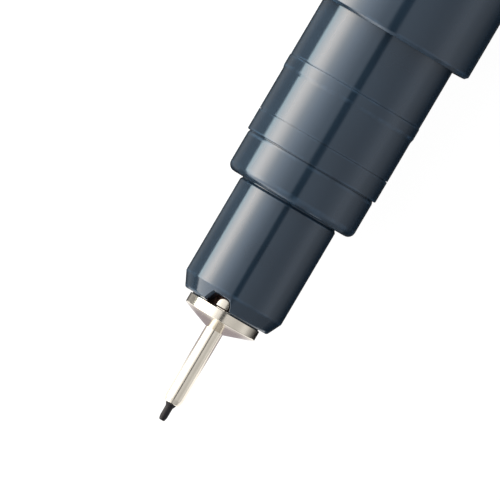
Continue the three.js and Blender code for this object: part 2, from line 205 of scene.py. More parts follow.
def turned(name, corners, sides=SIDES):
    """A solid of revolution round the pen's axis. The outline runs from the front along the
    outside and back along the bore."""
    vertices = []
    wear = []
    rings = []
    for (station, radius), worn in rounded(corners):
        x = NIB_TIP + station * MM
        if radius < 1e-9:
            # One point on the axis stands for a whole ring.
            rings.append([len(vertices)] * sides)
            vertices.append((x, 0, AXIS_HEIGHT))
            wear.append(worn)
            continue
        rings.append(list(range(len(vertices), len(vertices) + sides)))
        wear += [worn] * sides
        for side in range(sides):
            turn = 2 * math.pi * side / sides
            y = radius * MM * math.sin(turn)
            z = radius * MM * math.cos(turn)
            vertices.append((x, y, AXIS_HEIGHT + z))
    pairs = list(zip(rings, rings[1:]))
    if corners[0][1] > 0:
        pairs.append((rings[-1], rings[0]))
    faces = []
    for front, rear in pairs:
        for side in range(sides):
            after = (side + 1) % sides
            face = [front[side], front[after], rear[after], rear[side]]
            faces.append(tuple(dict.fromkeys(face)))  # three corners where one ring is a point
    piece = new_piece(name, vertices, faces)
    piece.data.attributes.new("wear", "FLOAT", "POINT").data.foreach_set("value", wear)
    return piece


def loft(name, rings, turn):
    """A closed piece through rings of [station, distance sideways, distance from the axis]
    points, with the way out from the axis turned from straight up towards +Y."""
    radial = Vector((0, math.sin(turn), math.cos(turn)))
    sideways = Vector((0, math.cos(turn), -math.sin(turn)))
    origin = Vector((NIB_TIP, 0, AXIS_HEIGHT))
    vertices = []
    for ring in rings:
        for station, side, height in ring:
            offset = Vector((1, 0, 0)) * station + sideways * side + radial * height
            vertices.append(origin + offset * MM)
    count = len(rings[0])
    last = len(vertices) - count
    faces = [tuple(reversed(range(count))), tuple(range(last, len(vertices)))]
    for start in range(0, last, count):
        for index in range(count):
            after = (index + 1) % count
            corners = (index, after, count + after, count + index)
            faces.append(tuple(start + corner for corner in corners))
    return outward(new_piece(name, vertices, faces))


def prism(name, outline, low, high, turn):
    """A piece with the same outline of [station, distance sideways] points all the way up."""
    rings = [[(*point, height) for point in outline] for height in (low, high)]
    return loft(name, rings, turn)


def outward(piece):
    """Turns a closed mesh's faces outward if they point in."""
    mesh = piece.data
    volume = 0
    mesh.calc_loop_triangles()
    for triangle in mesh.loop_triangles:
        a, b, c = (mesh.vertices[index].co for index in triangle.vertices)
        volume += a.dot(b.cross(c))
    if volume < 0:
        mesh.flip_normals()
    return piece


def combine(piece, other, operation):
    """A boolean between two closed pieces, whose result replaces the first."""
    modifier = piece.modifiers.new("combine", "BOOLEAN")
    modifier.operation = operation
    modifier.solver = "EXACT"
    modifier.object = other
    graph = bpy.context.evaluated_depsgraph_get()
    result = bpy.data.meshes.new_from_object(piece.evaluated_get(graph))
    piece.modifiers.clear()
    piece.data = result
    bpy.data.objects.remove(other)
    smooth(piece)
    return piece


# ---- materials ----

def feed(socket, value):
    """Gives an input a value of its own, or another node's output."""
    if isinstance(value, bpy.types.NodeSocket):
        socket.id_data.links.new(value, socket)
    else:
        socket.default_value = value


def set_inputs(node, **inputs):
    """Feeds a node's inputs by name. From_Min stands for the one called "From Min"."""
    for name, value in inputs.items():
        feed(node.inputs[name.replace("_", " ")], value)


def add_node(tree, kind, **inputs):
    node = tree.nodes.new(kind)
    set_inputs(node, **inputs)
    return node


def add_math(tree, operation, *values):
    """The result of an operation on values or other nodes' outputs."""
    node = add_node(tree, "ShaderNodeMath")
    node.operation = operation
    for socket, value in zip(node.inputs, values):
        feed(socket, value)
    return node.outputs["Value"]


class Nodes:
    """A material's node tree, with short ways to add what the finishes share."""

    def __init__(self, name):
        self.material = bpy.data.materials.new(name)
        self.material.use_nodes = True
        self.tree = self.material.node_tree
        self.shader = self.tree.nodes["Principled BSDF"]
        self.place = self.add("ShaderNodeTexCoord").outputs["Object"]

    def set(self, **inputs):
        """Sets inputs of the shader itself."""
        set_inputs(self.shader, **inputs)

    def add(self, kind, **inputs):
        return add_node(self.tree, kind, **inputs)

    def math(self, operation, *values):
        return add_math(self.tree, operation, *values)

    def noise(self, scale, detail=4.0, roughness=0.5):
        """Noise with its own scale along X, Y and Z, in features to the metre."""
        scaled = self.add("ShaderNodeMapping", Vector=self.place, Scale=scale).outputs["Vector"]
        noise = self.add("ShaderNodeTexNoise", Vector=scaled, Scale=1.0, Detail=detail,
                         Roughness=roughness)
        return noise.outputs["Fac"]

    def spread(self, value, low=0, high=1, start=0.3, end=0.7):
        """A value between start and end, spread between low and high."""
        spread = self.add("ShaderNodeMapRange", Value=value, From_Min=start, From_Max=end,
                          To_Min=low, To_Max=high)
        return spread.outputs["Result"]

    def mix(self, value, dark, light):
        """A colour between two, following a value from 0 to 1."""
        mix = self.add("ShaderNodeMix")
        mix.data_type = "RGBA"
        ends = [(*color, 1) if isinstance(color, tuple) else color for color in (dark, light)]
        set_inputs(mix, Factor=value, A=ends[0], B=ends[1])
        return mix.outputs["Result"]

    def worn_edges(self):
        """Patches of wear along the rounded outer edges, from 0 to 1."""
        edges = self.add("ShaderNodeAttribute")
        edges.attribute_name = "wear"
        patches = self.spread(self.noise((900, 900, 900), detail=5), start=0.38, end=0.62)
        return self.math("MULTIPLY", edges.outputs["Fac"], patches)

    def painted_shade_inside_nose(self):
        """1 behind the disc and close round its shank, and 0 elsewhere: where brown shade is
        painted on the metal that shows through the vent notch.
        """
        reach = (SHANK_RADIUS + 0.4) * MM
        front = NIB_TIP + (NOSE_FRONT - LIP / 2) * MM
        x, y, z = self.add("ShaderNodeSeparateXYZ", Vector=self.place).outputs
        lift = self.math("SUBTRACT", z, AXIS_HEIGHT)
        squares = (self.math("POWER", y, 2.0), self.math("POWER", lift, 2.0))
        distance = self.math("SQRT", self.math("ADD", *squares))
        near = self.math("LESS_THAN", distance, reach)
        behind = self.math("GREATER_THAN", x, front)
        return self.math("MULTIPLY", near, behind)

    def bump(self, heights):
        """Bumps laid on each other. Each is (height value, depth in metres)."""
        below = {}
        for height, depth in heights:
            bump = self.add("ShaderNodeBump", Height=height, Strength=1.0, Distance=depth, **below)
            below = {"Normal": bump.outputs["Normal"]}
        self.set(**below)


def shaded(color, factor):
    return tuple(channel * factor for channel in color)


def plastic(name, color, roughness, variation=0.12, sheen=(1, 1, 1), ior=1.55):
    """Moulded plastic: faint grain, hairline scratches along the pen, and edges paled by wear."""
    nodes = Nodes(name)
    nodes.set(IOR=ior, Specular_Tint=(*sheen, 1))
    cloud = nodes.spread(nodes.noise((260, 260, 260), detail=3))
    mottled = nodes.mix(cloud, shaded(color, 1 - variation), shaded(color, 1 + variation))
    worn = nodes.worn_edges()
    pale = shaded(color, 2)
    scratches = nodes.noise((500, 9000, 9000), detail=2)
    polish = nodes.spread(scratches, roughness * 0.85, roughness * 1.2)
    dulling = nodes.math("MULTIPLY", worn, 0.12)
    nodes.set(
        Base_Color=nodes.mix(worn, mottled, pale),
        Roughness=nodes.math("ADD", polish, dulling),
    )
    fine = nodes.noise((12000, 12000, 12000), detail=2)
    waves = nodes.noise((900, 900, 900), detail=1)
    grain = 0.3e-6
    nodes.bump([(fine, grain), (waves, grain * 4), (scratches, grain)])
    return nodes.material


def turned_metal(name, color, roughness):
    """Polished metal with the fine rings that turning leaves. Inside the nose, where the vent notch
    shows it, painted shade makes it brown and fully rough."""
    nodes = Nodes(name)
    cloud = nodes.spread(nodes.noise((800, 800, 800), detail=3))
    mottled = nodes.mix(cloud, shaded(color, 0.94), color)
    rings = nodes.noise((30000, 60, 60), detail=2)
    polish = nodes.spread(rings, roughness * 0.8, roughness * 1.3)
    # painted shade: brown and fully rough behind the disc, where the vent notch looks in
    notch_shade = nodes.painted_shade_inside_nose()
    nodes.set(
        Metallic=1.0,
        Base_Color=nodes.mix(notch_shade, mottled, NOTCH_SHADE_BROWN),
        Roughness=nodes.math("MAXIMUM", polish, notch_shade),
    )
    nodes.bump([(rings, 0.8e-6)])
    return nodes.material


def brushed_metal(name, color, roughness):
    """Sheet metal brushed along the pen."""
    nodes = Nodes(name)
    lines = nodes.noise((150, 16000, 16000), detail=3)
    nodes.set(
        Metallic=1.0,
        Base_Color=nodes.mix(nodes.spread(lines), shaded(color, 0.88), color),
        Roughness=nodes.spread(lines, roughness * 0.7, roughness * 1.4),
    )
    nodes.bump([(lines, 0.8e-6)])
    return nodes.material


def fibre(name, color, light, gloss=0.2):
    """Bonded fibres that run along the pen."""
    nodes = Nodes(name)
    strands = nodes.noise((700, 14000, 14000), detail=4, roughness=0.6)
    nodes.set(
        Base_Color=nodes.mix(nodes.spread(strands), color, light),
        Roughness=0.85 - gloss / 2,
        Specular_IOR_Level=gloss / 2,
    )
    nodes.bump([(strands, 8e-6)])
    return nodes.material


def rubber(name, color):
    nodes = Nodes(name)
    pores = nodes.noise((9000, 9000, 9000), detail=4)
    nodes.set(
        Base_Color=nodes.mix(nodes.spread(pores), shaded(color, 0.8), shaded(color, 1.2)),
        Roughness=nodes.spread(pores, 0.65, 0.85),
    )
    nodes.bump([(pores, 4e-6)])
    return nodes.material


def film(name, color):
    """Clear film with fine wrinkles round the reservoir."""
    nodes = Nodes(name)
    wrinkles = nodes.noise((350, 900, 900), detail=4)
    nodes.set(
        Alpha=0.45,
        Base_Color=nodes.mix(nodes.spread(wrinkles), shaded(color, 0.9), color),
        Roughness=0.12,
    )
    nodes.bump([(wrinkles, 20e-6)])
    return nodes.material


BLUE = (0.0095, 0.0215, 0.038)
# painted shade: the brown that stands for the shadow in the nose behind the vent notch
NOTCH_SHADE_BROWN = (0.42, 0.28, 0.24)
FINISHES = {
    "barrel_plastic": plastic("barrel_plastic", BLUE, 0.12, sheen=(0.76, 0.86, 1.0), ior=1.7),
    "black_plastic": plastic("black_plastic", (0.012, 0.012, 0.014), 0.4),
    "white_plastic": plastic("white_plastic", (0.70, 0.70, 0.66), 0.45, variation=0.04),
    "seal_rubber": rubber("seal_rubber", (0.02, 0.02, 0.022)),
    "nickel": turned_metal("nickel", (0.80, 0.74, 0.645), 0.16),
    "spring_steel": brushed_metal("spring_steel", (0.62, 0.63, 0.64), 0.3),
    "nib_plastic": fibre("nib_plastic", (0.005, 0.005, 0.007), (0.016, 0.014, 0.017), gloss=0.5),
    "inked_fibre": fibre("inked_fibre", (0.008, 0.008, 0.012), (0.03, 0.03, 0.04)),
    "film": film("film", (0.75, 0.78, 0.80)),
    "size_colour": plastic("size_colour", (0.20, 0.075, 0.03), 0.35, variation=0.08),
}


def finish_piece(piece, slot, body, *nodes):
    """Gives a piece its material and its body, and hides the CAD nodes that it stands for."""
    piece.data.materials.clear()
    piece.data.materials.append(FINISHES[slot])
    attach(piece, body)
    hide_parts(*nodes)


# ---- the writing point ----

def make_nib():
    """A pin with a worn tip, a cone down to the tube, and a stem inside it."""
    pin_radius = 0.25
    rear = span("nib_point")[1]
    nib = turned("nib", [
        (0, 0),
        (0, pin_radius * 0.74, 0.1),
        (0.27, pin_radius, 0.4),
        (0.95, pin_radius, 0.12),
        (SLEEVE_FRONT, NIB_STEM_RADIUS + 0.01, 0.04),
        (SLEEVE_FRONT + 0.1, NIB_STEM_RADIUS),
        (rear, NIB_STEM_RADIUS),
        (rear, 0),
    ], FINE_SIDES)
    finish_piece(nib, "nib_plastic", "pen", "nib_point")


def make_sleeve():
    """A tube whose front end is rolled in round the nib."""
    lip = 0.4
    sleeve = turned("needle", [
        (SLEEVE_FRONT, lip, 0.02),
        (SLEEVE_FRONT + 0.04, lip + 0.1, 0.1),
        (SLEEVE_FRONT + 0.38, SLEEVE_RADIUS, 0.5),
        (SLEEVE_REAR, SLEEVE_RADIUS),
        (SLEEVE_REAR, NEEDLE_BORE),
        (SLEEVE_FRONT, NEEDLE_BORE),
    ], FINE_SIDES)
    finish_piece(sleeve, "nickel", "pen", "needle_sleeve")


def lug_outline(front):
    """The half-round lug, as [station, distance sideways] points. It is fuller than an ellipse."""
    width = 0.78
    height = 0.54
    fullness = 0.55
    steps = 20
    outline = []
    for step in range(steps + 1):
        turn = math.pi * (0.5 - step / steps)
        bulge = abs(math.cos(turn)) ** fullness
        outline.append((front + height * bulge, LUG_SHIFT + width / 2 * math.sin(turn)))
    return outline


def box_outline(front, rear, middle, width):
    left = middle - width / 2
    right = middle + width / 2
    return [(front, left), (rear, left), (rear, right), (front, right)]


def make_lug(front):
    """A half-round block that follows the edge of the disc."""
    top = DISC_RADIUS - 0.08
    outline = lug_outline(NOSE_FRONT + LUG_GAP / 2)
    lug = prism("lug", outline, LUG_FOOT, DISC_RADIUS + 1, NOTCH_TURN)
    kept = turned("lug_top", [
        (front, LUG_FOOT - 0.2),
        (front, top, 0.05),
        (front + 1, top),
        (front + 1, LUG_FOOT - 0.2),
    ])
    return combine(lug, kept, "INTERSECT")


def make_lug_stem(front):
    """What joins the lug to the disc."""
    rear = NOSE_FRONT + LUG_GAP * 1.5
    outline = box_outline(front - LUG_GAP, rear, LUG_SHIFT, 0.33)
    return prism("lug_stem", outline, LUG_FOOT, LUG_FOOT + 0.6, NOTCH_TURN)


def make_disc():
    """The turned disc, whose front is a shallow cone, and the lug behind it."""
    bore = SLEEVE_RADIUS + PLAY / 2
    cone_rear = DISC_FRONT + 0.49
    cone_radius = DISC_RADIUS - 0.42
    rim_front = cone_rear + 0.18
    rear = NOSE_FRONT - LIP
    undercut = SHANK_RADIUS - 0.15
    undercut_rear = rear + 1
    disc = turned("tip_disc_turned", [
        (DISC_FRONT, bore),
        (DISC_FRONT, bore + 0.04, 0.03),
        (cone_rear, cone_radius, 0.08),
        (rim_front, DISC_RADIUS, 0.1),
        (rear, DISC_RADIUS, 0.05),
        (rear, undercut),
        (undercut_rear, undercut),
        (undercut_rear, SHANK_RADIUS, 0.05),
        (SHANK_REAR, SHANK_RADIUS, 0.1),
        (SHANK_REAR, bore),
    ])
    combine(disc, make_lug_stem(rear), "UNION")
    combine(disc, make_lug(rear), "UNION")
    finish_piece(disc, "nickel", "pen", "tip_disc")


# ---- the body ----

def notch_outline():
    """The vent notch in the rim of the nose: one slanted wall and one curved one."""
    slant_foot = 1.05
    slant_top = 0.61
    curve_foot = -0.81
    curve_top = -0.4
    open_end = NOSE_FRONT - 1
    top = NOSE_FRONT + NOTCH_HEIGHT
    outline = [(open_end, slant_foot), (NOSE_FRONT, slant_foot), (top, slant_top)]
    steps = 10
    for step in range(steps + 1):
        turn = math.pi / 2 * step / steps
        side = curve_top + (curve_foot - curve_top) * math.sin(turn)
        outline.append((NOSE_FRONT + NOTCH_HEIGHT * math.cos(turn), side))
    outline.append((open_end, curve_foot))
    return outline


def notch_cutter():
    """What the vent notch takes away, with a narrow chamfer round its outer edge, and a wider one
    on its slanted wall."""
    chamfer = 0.1
    slant_extra = 0.14  # how much wider the chamfer of the slanted wall is
    rings = ([], [], [], [])
    for station, side in notch_outline():
        along = min(max(station - NOSE_FRONT, 0) / NOSE_CHAMFER, 1)
        radius = NOSE_RADIUS - NOSE_TAPER * (1 - along)
        surface = math.sqrt(radius ** 2 - side ** 2)
        away = Vector((station - NOSE_FRONT, side)).normalized() * chamfer
        wide = (station + away.x, side + away.y)
        inward = slant_extra if side > 0 else 0.0
        rings[0].append((station, side - inward, SHANK_RADIUS - 0.3))
        rings[1].append((station, side - inward, surface - chamfer / 2 - inward / 3))
        rings[2].append((*wide, surface + chamfer / 2))
        rings[3].append((*wide, NOSE_RADIUS + 1))
    return loft("notch", rings, NOTCH_TURN)


def make_nose():
    """The nose, from the vent notch in its rim to the collar and the spigot behind it."""
    nose_bore = SHANK_RADIUS + PLAY + 0.01
    disc_seat = DISC_RADIUS - 0.12
    holder_bore = HOLDER_RADIUS + PLAY
    holder_step = HOLDER_FRONT - 0.2
    groove_depth = 0.1  # at the foot of the collar, slanting in from the front
    groove_bottom = COLLAR_FRONT - 0.04
    groove_radius = NOSE_RADIUS - groove_depth
    nose = turned("nose", [
        (NOSE_FRONT - LIP, nose_bore, 0.03),
        (NOSE_FRONT - LIP, disc_seat, 0.03),
        (NOSE_FRONT, disc_seat),
        (NOSE_FRONT, NOSE_RADIUS - NOSE_TAPER, 0.2),
        (NOSE_FRONT + NOSE_CHAMFER, NOSE_RADIUS, 0.15),
        (groove_bottom - groove_depth * 1.4, NOSE_RADIUS, 0.06),
        (groove_bottom, groove_radius, 0.02),
        (COLLAR_FRONT, groove_radius),
        (COLLAR_FRONT, COLLAR_RADIUS, 0.5),
        (COLLAR_REAR - 0.15, COLLAR_RADIUS, 0.2),
        (COLLAR_REAR, COLLAR_RADIUS - 0.05),
        (COLLAR_REAR, JOINT_RADIUS),
        (NOSE_REAR, JOINT_RADIUS, 0.2),
        (NOSE_REAR, holder_bore),
        (holder_step, holder_bore),
        (holder_step, nose_bore),
    ])
    combine(nose, notch_cutter(), "DIFFERENCE")
    finish_piece(nose, "barrel_plastic", "pen", "nose_piece")


def make_ring():
    """The narrow ring. Its lowered edges are the floors of the fine lines on either side of it."""
    bore = JOINT_RADIUS + PLAY
    front_line = COLLAR_RADIUS - 0.07
    rear_line = GRIP_RADIUS - 0.1
    ring = turned("ring", [
        (COLLAR_REAR, bore),
        (COLLAR_REAR, front_line),
        (RING_FRONT, front_line),
        (RING_FRONT, GRIP_RADIUS, 0.08),
        (RING_REAR, GRIP_RADIUS, 0.02),
        (RING_REAR, rear_line),
        (GRIP_FRONT, rear_line),
        (GRIP_FRONT, bore),
    ])
    finish_piece(ring, "barrel_plastic", "pen", "section_ring")


def make_grip():
    """The grip, with a raised band near its rear, and the spigot that goes into the barrel."""
    band_front = GRIP_FRONT + 2.97
    band_rear = band_front + 0.92
    band_slope = 0.12
    band_edge = 0.05
    lead_in = 0.3
    guide_step = span("wick_guide")[1] - 1.9
    seat_step = NOSE_REAR + 0.3
    holder_bore = HOLDER_RADIUS + PLAY
    grip = turned("grip", [
        (GRIP_FRONT, JOINT_RADIUS + PLAY),
        (GRIP_FRONT, GRIP_RADIUS, 0.02),
        (band_front - band_slope, GRIP_RADIUS, 0.3),
        (band_front + band_slope, BAND_RADIUS, 0.3),
        (band_rear - band_edge, BAND_RADIUS, 0.05),
        (band_rear, BAND_RADIUS - band_edge, 0.02),
        (band_rear + band_edge, TAIL_RADIUS, 0.02),
        (GRIP_REAR - lead_in, TAIL_RADIUS, 0.05),
        (GRIP_REAR, TAIL_RADIUS - lead_in),
        (GRIP_REAR, RESERVOIR_SPACE),
        (guide_step, RESERVOIR_SPACE),
        (guide_step, holder_bore),
        (seat_step, holder_bore),
        (seat_step, JOINT_RADIUS + PLAY),
    ])
    finish_piece(grip, "barrel_plastic", "pen", "grip_sleeve")


def make_barrel():
    """A tube with six ribs inside, which hold the reservoir clear of the wall."""
    chamfer = 0.2
    barrel = turned("barrel_tube", [
        (BARREL_FRONT, BARREL_RADIUS - chamfer, 0.05),
        (BARREL_FRONT + chamfer, BARREL_RADIUS, 0.1),
        (BARREL_REAR - chamfer, BARREL_RADIUS, 0.1),
        (BARREL_REAR, BARREL_RADIUS - chamfer, 0.05),
        (BARREL_REAR, BORE_RADIUS),
        (BARREL_FRONT, BORE_RADIUS),
    ])
    ribs = 6
    rib_width = 0.8
    gap = 0.3  # between a rib's end and the piece next to it
    outline = box_outline(GRIP_REAR + gap, TAIL_FRONT - gap, 0, rib_width)
    for rib in range(ribs):
        turn = 2 * math.pi * (rib + 0.5) / ribs
        bar = prism("rib", outline, RESERVOIR_SPACE, BORE_RADIUS + 0.5, turn)
        combine(barrel, bar, "UNION")
    finish_piece(barrel, "barrel_plastic", "pen", "barrel")


def make_size_disc(name, node, body):
    """A coloured disc with a shallow dish in its face."""
    front, rear, radius = span(node)
    dish = rear - 0.15
    disc = turned(name, [
        (front, 0),
        (front, radius),
        (rear, radius, 0.15),
        (rear, radius * 0.8, 0.2),
        (dish, radius * 0.72, 0.2),
        (dish, 0),
    ])
    finish_piece(disc, "size_colour", body, node)


def make_tail():
    """A plug with a cup for the reservoir in front, and a groove that the cap clicks into."""
    disc_node = "tail_size_disc"
    disc_front, _, disc_radius = span(disc_node)
    cup_end = span("reservoir_film")[1] + 0.4
    lead_in = 0.3
    groove = CAP_MOUTH + 2.7
    groove_width = 1.3
    groove_depth = 0.1
    tail = turned("tail", [
        (cup_end, 0),
        (cup_end, RESERVOIR_SPACE),
        (TAIL_FRONT, RESERVOIR_SPACE),
        (TAIL_FRONT, TAIL_RADIUS - lead_in),
        (TAIL_FRONT + lead_in, TAIL_RADIUS),
        (groove, TAIL_RADIUS, 0.1),
        (groove + groove_depth, TAIL_RADIUS - groove_depth, 0.1),
        (groove + groove_width - groove_depth, TAIL_RADIUS - groove_depth, 0.1),
        (groove + groove_width, TAIL_RADIUS, 0.1),
        (TAIL_REAR, TAIL_RADIUS, 0.5),
        (TAIL_REAR, disc_radius + PLAY, 0.1),
        (disc_front - PLAY, disc_radius + PLAY),
        (disc_front - PLAY, 0),
    ])
    finish_piece(tail, "barrel_plastic", "pen", "tail_plug")
    make_size_disc("tail_disc", disc_node, "pen")


# ---- the cap ----

def make_cap():
    """The outer tube with a fine line near its mouth, the inner cap, and the seal in its mouth."""
    line = CAP_MOUTH + 2.2
    line_depth = 0.1
    lead_in = 0.25
    shell = turned("cap_tube", [
        (CAP_MOUTH, CAP_BORE + lead_in, 0.05),
        (CAP_MOUTH, CAP_RADIUS, 0.25),
        (line - line_depth, CAP_RADIUS, 0.02),
        (line, CAP_RADIUS - line_depth, 0.03),
        (line + line_depth, CAP_RADIUS, 0.02),
        (SHELL_REAR, CAP_RADIUS, 0.15),
        (SHELL_REAR, CAP_BORE),
        (CAP_MOUTH + lead_in, CAP_BORE, 0.1),
    ])
    finish_piece(shell, "barrel_plastic", "cap", "cap_shell")

    liner_bore = SEAL_RADIUS - 0.46
    liner_end = LINER_REAR - 1.1
    liner = turned("inner_cap", [
        (liner_end, 0),
        (liner_end, liner_bore, 0.6),
        (SEAL_REAR + 0.1, liner_bore),
        (SEAL_REAR + 0.1, SEAL_RADIUS + PLAY),
        (LINER_FRONT, SEAL_RADIUS + PLAY, 0.1),
        (LINER_FRONT, LINER_RADIUS, 0.3),
        (LINER_REAR, LINER_RADIUS, 0.4),
        (LINER_REAR, 0),
    ])
    finish_piece(liner, "white_plastic", "cap", "cap_liner")

    seal = turned("seal_ring", [
        (SEAL_FRONT, SEAL_RADIUS, 0.1),
        (SEAL_REAR, SEAL_RADIUS, 0.1),
        (SEAL_REAR, liner_bore, 0.2),
        (SEAL_FRONT, liner_bore, 0.4),
    ])
    finish_piece(seal, "seal_rubber", "cap", "cap_seal_ring")


def make_crown():
    """The end plug of the cap, hollow in front, with the slot that holds the clip."""
    disc_node = "crown_size_disc"
    disc_front, _, disc_radius = span(disc_node)
    flange_front = SHELL_REAR + 0.2
    web_front = flange_front - 1.2
    lead_in = 0.3
    crown = turned("crown", [
        (web_front, 0),
        (web_front, disc_radius),
        (CROWN_FRONT, disc_radius),
        (CROWN_FRONT, LINER_RADIUS - lead_in),
        (CROWN_FRONT + lead_in, LINER_RADIUS),
        (flange_front, LINER_RADIUS),
        (flange_front, CROWN_RADIUS, 0.15),
        (CROWN_REAR, CROWN_RADIUS, 0.5),
        (CROWN_REAR, disc_radius + PLAY, 0.1),
        (disc_front - PLAY, disc_radius + PLAY),
        (disc_front - PLAY, 0),
    ])
    slot_floor = 4.1  # from the pen's axis
    margin = 0.3
    reach = CLIP_SHEET / 2 + margin
    outline = box_outline(CLIP_ROOT - reach, CLIP_ROOT + reach, 0, CLIP_WIDTH + 2 * margin)
    combine(crown, prism("slot", outline, slot_floor, CROWN_RADIUS + 1, CLIP_TURN), "DIFFERENCE")
    finish_piece(crown, "barrel_plastic", "cap", "cap_crown")
    make_size_disc("crown_disc", disc_node, "cap")


def clip_path():
    """The middle of the clip's sheet, as (station, distance from the axis, width) from its root
    in the crown to its free end, which dips to the shell, flares out and grows narrow."""
    middle = CLIP_OUTSIDE - CLIP_SHEET / 2
    bend = 0.7
    root = 4.4  # from the pen's axis
    gap = 0.15  # between the cap and the clip where it dips
    flare = 0.8  # how much of the dip it climbs out of again
    narrowing = 0.35  # of the width
    narrow_length = 1.2
    path = [(CLIP_ROOT, root, CLIP_WIDTH), (CLIP_ROOT, root + 0.8, CLIP_WIDTH)]
    bend_steps = 10
    for step in range(bend_steps + 1):
        turn = math.pi / 2 * step / bend_steps
        station = CLIP_ROOT - bend * (1 - math.cos(turn))
        path.append((station, middle - bend * (1 - math.sin(turn)), CLIP_WIDTH))
    dip = CLIP_FRONT + 2.6
    depth = CLIP_OUTSIDE - CLIP_SHEET - BARREL_RADIUS - gap
    start = dip + 3.4
    path.append((start + 8, middle, CLIP_WIDTH))
    steps = 48
    for step in range(steps + 1):
        station = start + (CLIP_FRONT - start) * step / steps
        if station > dip:
            share = (1 + math.cos(math.pi * (station - dip) / (start - dip))) / 2
        else:
            share = 1 - flare * ((dip - station) / (dip - CLIP_FRONT)) ** 2
        near_end = max(0.0, 1 - (station - CLIP_FRONT) / narrow_length)
        width = CLIP_WIDTH * (1 - narrowing * near_end ** 2)
        path.append((station, middle - depth * share, width))
    return path


def strip_section(width):
    """A rectangle with rounded corners, as (distance sideways, lift) points."""
    edge = 0.2
    steps = 5
    section = []
    for quarter, (side, lift) in enumerate([(1, 1), (-1, 1), (-1, -1), (1, -1)]):
        for step in range(steps + 1):
            turn = math.pi / 2 * (quarter + step / steps)
            across = side * (width / 2 - edge) + edge * math.cos(turn)
            section.append((across, lift * (CLIP_SHEET / 2 - edge) + edge * math.sin(turn)))
    return section


def make_clip():
    """A strip with rounded edges, swept along the clip's path."""
    path = clip_path()
    rings = []
    for index, (station, distance, width) in enumerate(path):
        before = path[max(index - 1, 0)]
        after = path[min(index + 1, len(path) - 1)]
        heading = Vector((after[0] - before[0], after[1] - before[1])).normalized()
        rings.append([
            (station + heading.y * lift, across, distance - heading.x * lift)
            for across, lift in strip_section(width)
        ])
    clip = loft("clip_strip", rings, CLIP_TURN)
    finish_piece(clip, "spring_steel", "clip", "cap_clip")


# ---- inner pieces that keep their CAD shape ----

def finish_inner_nodes():
    """Gives every CAD node the finish of its slot. Those that nothing replaces are shown."""
    for subpart in frame["record"]["subparts"]:
        node = frame["nodes"][subpart["node"]]
        node.data.materials.clear()
        node.data.materials.append(FINISHES[subpart["material_slot"]])


# ---- the studio ----

CAMERA_DISTANCE = 1.0
CAMERA_TURN = math.radians(-59.5)
FIELD = 31.3  # millimetres across the picture
SENSOR = 36.0
AIM_STATION = 11.99
AIM_SIDE = 0.626  # towards +Y, in millimetres

TENT_RADIUS = 0.25
TENT_MARGIN = 0.12  # past either end of the pen
TENT_ENDS = (CAD_BOUNDS[0][0] - TENT_MARGIN, CAD_BOUNDS[1][0] + TENT_MARGIN)

WHITE = (1, 1, 1)
IVORY = (1, 0.94, 0.86)
WARM = (1, 0.86, 0.72)
PALE = (0.9, 0.865, 0.78)
COOL = (0.84, 1.0, 0.96)

# Brightness and colour of the light tent by angle from straight up, in degrees; positive is towards
# +Y. The key light is on that side, warm in the middle and cool at its far edge. The gap at the top
# is where the camera looks in.
TENT_LIGHT = [
    (-155, 0.0, WHITE),
    (-138, 0.02, WHITE),
    (-123, 0.13, WHITE),
    (-97, 0.56, WHITE),
    (-87, 0.82, WHITE),
    (-76, 0.88, WHITE),
    (-60, 0.68, WHITE),
    (-47, 0.63, WHITE),
    (-25, 0.73, WHITE),
    (-8, 0.79, WHITE),
    (-6.2, 0.06, WHITE),
    (4.4, 0.06, WHITE),
    (6.0, 0.92, WHITE),
    (17, 1.08, WHITE),
    (29, 1.65, WHITE),
    (41, 2.45, WHITE),
    (53, 3.8, IVORY),
    (67, 7.8, WARM),
    (76, 9.2, WARM),
    (89, 6.9, PALE),
    (97, 5.2, COOL),
    (98, 0.33, WHITE),
    (112, 0.33, WHITE),
    (119, 0.3, WHITE),
    (128, 0.37, WHITE),
    (138, 0.42, WHITE),
    (147, 0.3, WHITE),
    (155, 0.13, WHITE),
    (165, 0.0, WHITE),
]

# The same for the cards that close the ends of the tent.
END_LIGHT = [
    (-155, 0.15, WHITE),
    (-110, 0.3, WHITE),
    (-75, 0.52, WHITE),
    (-8, 0.62, WHITE),
    (-6, 0.3, WHITE),
    (4, 0.3, WHITE),
    (7, 0.85, WHITE),
    (30, 1.15, WHITE),
    (60, 2.6, WHITE),
    (104, 4.1, IVORY),
    (106, 0.22, WHITE),
    (160, 0.1, WHITE),
]


def emission(name, strength):
    """A material that gives light, and the node that its colour goes to."""
    material = bpy.data.materials.new(name)
    material.use_nodes = True
    tree = material.node_tree
    tree.nodes.clear()
    glow = add_node(tree, "ShaderNodeEmission", Strength=strength)
    add_node(tree, "ShaderNodeOutputMaterial", Surface=glow.outputs["Emission"])
    return material, glow


def polar_light(name, levels):
    """Light whose strength and colour follow the angle round the pen's axis."""
    brightest = max(strength for _, strength, _ in levels)
    material, glow = emission(name, brightest)
    tree = material.node_tree
    place = add_node(tree, "ShaderNodeTexCoord").outputs["Object"]
    _, y, z = add_node(tree, "ShaderNodeSeparateXYZ", Vector=place).outputs
    angle = add_math(tree, "ARCTAN2", y, z)
    share = add_node(tree, "ShaderNodeMapRange", Value=angle, From_Min=-math.pi, From_Max=math.pi)
    ramp = add_node(tree, "ShaderNodeValToRGB", Fac=share.outputs["Result"])
    stops = ramp.color_ramp.elements
    stops.remove(stops[1])
    for index, (degrees, strength, color) in enumerate(levels):
        position = (degrees + 180) / 360
        stop = stops.new(position) if index else stops[0]
        stop.position = position
        stop.color = (*shaded(color, strength / brightest), 1)
    set_inputs(glow, Color=ramp.outputs["Color"])
    return material


